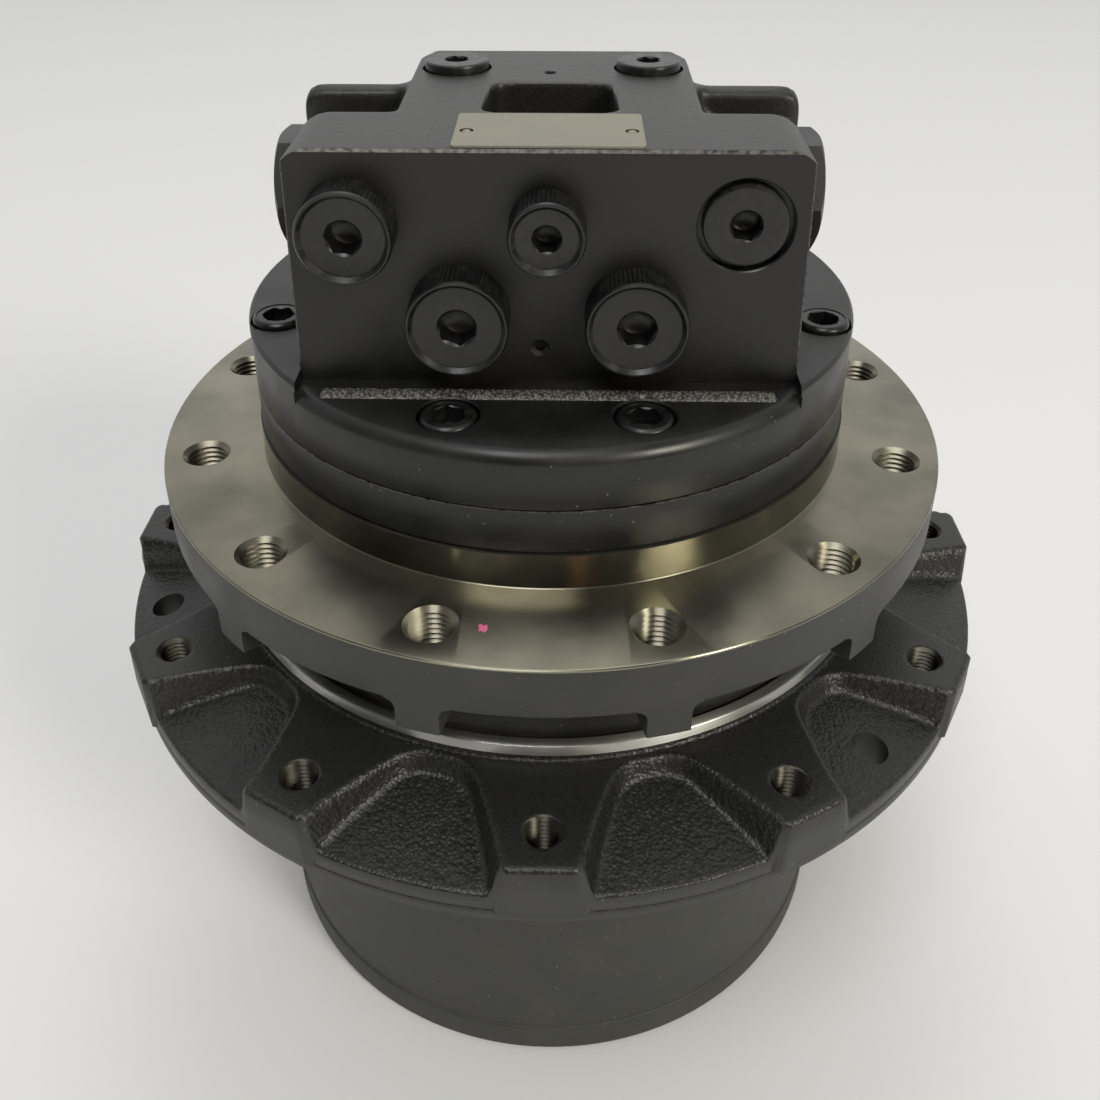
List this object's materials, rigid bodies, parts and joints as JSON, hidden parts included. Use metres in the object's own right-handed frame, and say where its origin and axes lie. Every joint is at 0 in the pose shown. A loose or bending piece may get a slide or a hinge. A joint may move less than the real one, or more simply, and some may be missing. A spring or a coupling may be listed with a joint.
{
  "type": "excavator final drive",
  "caption": "Excavator final drive: swash-plate motor with valve block on a fixed spindle, inside a planetary gearbox whose lobed flange carries the sprocket.",
  "frame": {"origin": "centre of the gearbox cover's foot, on the axis of the drive", "axes": "+Z along the drive's axis from the cover towards the valve block, -Y out of the valve block's face with the plugs, +X to the right seen from that face"},
  "size_m": [0.3366, 0.3366, 0.3539],
  "materials": {
    "black_paint": "satin black paint over machined and cast iron",
    "machined_steel": "machined and lightly oiled",
    "cast_black": "rough casting with thin black paint",
    "case_paint": "dull dark grey paint",
    "gear_steel": "ground and hardened",
    "bearing_steel": "polished",
    "screw_black": "black oxide",
    "friction_lining": "bonded friction lining",
    "bronze": "machined bronze"
  },
  "bodies": {
    "fixed_side": {"spindle": "machined_steel", "motor_ring": "black_paint", "rear_flange": "black_paint", "flange_screw_1": "screw_black", "flange_screw_2": "screw_black", "flange_screw_3": "screw_black", "flange_screw_4": "screw_black", "flange_screw_5": "screw_black", "flange_screw_6": "screw_black", "plug_upper_left": "screw_black", "plug_upper_middle": "screw_black", "plug_flat": "screw_black", "plug_lower_left": "screw_black", "plug_lower_right": "screw_black", "top_plug_left": "screw_black", "top_plug_right": "screw_black", "spool_cap_left": "black_paint", "spool_cap_right": "black_paint", "swash_plate": "gear_steel", "valve_plate": "bronze", "front_bush": "bronze", "rear_bush": "bronze", "separator_plate": "gear_steel", "carrier_2": "gear_steel", "pin_2_1": "bearing_steel", "pin_2_2": "bearing_steel", "pin_2_3": "bearing_steel", "low_bearing_inner_race": "bearing_steel", "high_bearing_inner_race": "bearing_steel", "seal_ring_fixed": "bearing_steel"},
    "hub": {"housing": "cast_black", "cover": "case_paint", "cover_plug": "screw_black", "low_bearing_outer_race": "bearing_steel", "high_bearing_outer_race": "bearing_steel", "seal_ring_rotating": "bearing_steel"},
    "low_balls": {"low_bearing_balls": "bearing_steel"},
    "high_balls": {"high_bearing_balls": "bearing_steel"},
    "second_planet_1": {"planet_2_1": "gear_steel"},
    "second_planet_2": {"planet_2_2": "gear_steel"},
    "second_planet_3": {"planet_2_3": "gear_steel"},
    "first_carrier": {"carrier_1": "gear_steel", "sun_2": "gear_steel"},
    "first_planet_1": {"planet_1_1": "gear_steel"},
    "first_planet_2": {"planet_1_2": "gear_steel"},
    "first_planet_3": {"planet_1_3": "gear_steel"},
    "rotor": {"shaft": "gear_steel", "sun_1": "gear_steel", "cylinder_block": "gear_steel", "friction_disc": "friction_lining"},
    "slippers": {"slipper_ring": "bronze"},
    "motor_piston_1": {"piston_1": "bearing_steel"},
    "motor_piston_2": {"piston_2": "bearing_steel"},
    "motor_piston_3": {"piston_3": "bearing_steel"},
    "motor_piston_4": {"piston_4": "bearing_steel"},
    "motor_piston_5": {"piston_5": "bearing_steel"},
    "motor_piston_6": {"piston_6": "bearing_steel"},
    "motor_piston_7": {"piston_7": "bearing_steel"},
    "brake": {"brake_piston": "gear_steel"},
    "spool": {"counterbalance_spool": "bearing_steel"}
  },
  "joints": [
    {"name": "hub_spin", "type": "hinge", "parent": "fixed_side", "child": "hub", "pos_m": [0, 0, 0.08], "axis": [0, 0, 1], "continuous": true},
    {"name": "low_balls_spin", "type": "hinge", "parent": "fixed_side", "child": "low_balls", "pos_m": [0, 0, 0.1143], "axis": [0, 0, 1], "continuous": true},
    {"name": "high_balls_spin", "type": "hinge", "parent": "fixed_side", "child": "high_balls", "pos_m": [0, 0, 0.1409], "axis": [0, 0, 1], "continuous": true},
    {"name": "second_planet_1_spin", "type": "hinge", "parent": "fixed_side", "child": "second_planet_1", "pos_m": [0, -0.06, 0.0725], "axis": [0, 0, 1], "continuous": true},
    {"name": "second_planet_2_spin", "type": "hinge", "parent": "fixed_side", "child": "second_planet_2", "pos_m": [0.05196, 0.03, 0.0725], "axis": [0, 0, 1], "continuous": true},
    {"name": "second_planet_3_spin", "type": "hinge", "parent": "fixed_side", "child": "second_planet_3", "pos_m": [-0.05196, 0.03, 0.0725], "axis": [0, 0, 1], "continuous": true},
    {"name": "first_carrier_spin", "type": "hinge", "parent": "fixed_side", "child": "first_carrier", "pos_m": [0, 0, 0.048], "axis": [0, 0, 1], "continuous": true},
    {"name": "first_planet_1_spin", "type": "hinge", "parent": "first_carrier", "child": "first_planet_1", "pos_m": [0, -0.06, 0.031], "axis": [0, 0, 1], "continuous": true},
    {"name": "first_planet_2_spin", "type": "hinge", "parent": "first_carrier", "child": "first_planet_2", "pos_m": [0.05196, 0.03, 0.031], "axis": [0, 0, 1], "continuous": true},
    {"name": "first_planet_3_spin", "type": "hinge", "parent": "first_carrier", "child": "first_planet_3", "pos_m": [-0.05196, 0.03, 0.031], "axis": [0, 0, 1], "continuous": true},
    {"name": "rotor_spin", "type": "hinge", "parent": "fixed_side", "child": "rotor", "pos_m": [0, 0, 0.17], "axis": [0, 0, 1], "continuous": true},
    {"name": "slippers_spin", "type": "hinge", "parent": "fixed_side", "child": "slippers", "pos_m": [0, 0, 0.149], "axis": [0, -0.2079, 0.9781], "continuous": true},
    {"name": "motor_piston_1_swing", "type": "hinge", "parent": "slippers", "child": "motor_piston_1", "pos_m": [0, -0.02967, 0.14269], "axis": [0, -0.2079, 0.9781], "continuous": true},
    {"name": "motor_piston_2_swing", "type": "hinge", "parent": "slippers", "child": "motor_piston_2", "pos_m": [0.02371, -0.0185, 0.14507], "axis": [0, -0.2079, 0.9781], "continuous": true},
    {"name": "motor_piston_3_swing", "type": "hinge", "parent": "slippers", "child": "motor_piston_3", "pos_m": [0.02957, 0.0066, 0.1504], "axis": [0, -0.2079, 0.9781], "continuous": true},
    {"name": "motor_piston_4_swing", "type": "hinge", "parent": "slippers", "child": "motor_piston_4", "pos_m": [0.01316, 0.02673, 0.15468], "axis": [0, -0.2079, 0.9781], "continuous": true},
    {"name": "motor_piston_5_swing", "type": "hinge", "parent": "slippers", "child": "motor_piston_5", "pos_m": [-0.01316, 0.02673, 0.15468], "axis": [0, -0.2079, 0.9781], "continuous": true},
    {"name": "motor_piston_6_swing", "type": "hinge", "parent": "slippers", "child": "motor_piston_6", "pos_m": [-0.02957, 0.0066, 0.1504], "axis": [0, -0.2079, 0.9781], "continuous": true},
    {"name": "motor_piston_7_swing", "type": "hinge", "parent": "slippers", "child": "motor_piston_7", "pos_m": [-0.02371, -0.0185, 0.14507], "axis": [0, -0.2079, 0.9781], "continuous": true},
    {"name": "brake_slide", "type": "slide", "parent": "fixed_side", "child": "brake", "axis": [0, 0, 1], "range_m": [0, 0.002], "stiffness_N_per_m": 5000, "springref_m": -0.01},
    {"name": "spool_slide", "type": "slide", "parent": "fixed_side", "child": "spool", "axis": [1, 0, 0], "range_m": [-0.006, 0.006], "stiffness_N_per_m": 500}
  ],
  "couplings": [
    {"joint": "low_balls_spin", "follows": "hub_spin", "ratio": 0.525},
    {"joint": "high_balls_spin", "follows": "hub_spin", "ratio": 0.525},
    {"joint": "second_planet_1_spin", "follows": "hub_spin", "ratio": 2.6667},
    {"joint": "second_planet_2_spin", "follows": "hub_spin", "ratio": 2.6667},
    {"joint": "second_planet_3_spin", "follows": "hub_spin", "ratio": 2.6667},
    {"joint": "first_carrier_spin", "follows": "hub_spin", "ratio": -4},
    {"joint": "first_planet_1_spin", "follows": "hub_spin", "ratio": 13.333},
    {"joint": "first_planet_2_spin", "follows": "hub_spin", "ratio": 13.333},
    {"joint": "first_planet_3_spin", "follows": "hub_spin", "ratio": 13.333},
    {"joint": "rotor_spin", "follows": "hub_spin", "ratio": -24},
    {"joint": "slippers_spin", "follows": "hub_spin", "ratio": -24},
    {"joint": "motor_piston_1_swing", "follows": "hub_spin", "ratio": 24},
    {"joint": "motor_piston_2_swing", "follows": "hub_spin", "ratio": 24},
    {"joint": "motor_piston_3_swing", "follows": "hub_spin", "ratio": 24},
    {"joint": "motor_piston_4_swing", "follows": "hub_spin", "ratio": 24},
    {"joint": "motor_piston_5_swing", "follows": "hub_spin", "ratio": 24},
    {"joint": "motor_piston_6_swing", "follows": "hub_spin", "ratio": 24},
    {"joint": "motor_piston_7_swing", "follows": "hub_spin", "ratio": 24}
  ]
}
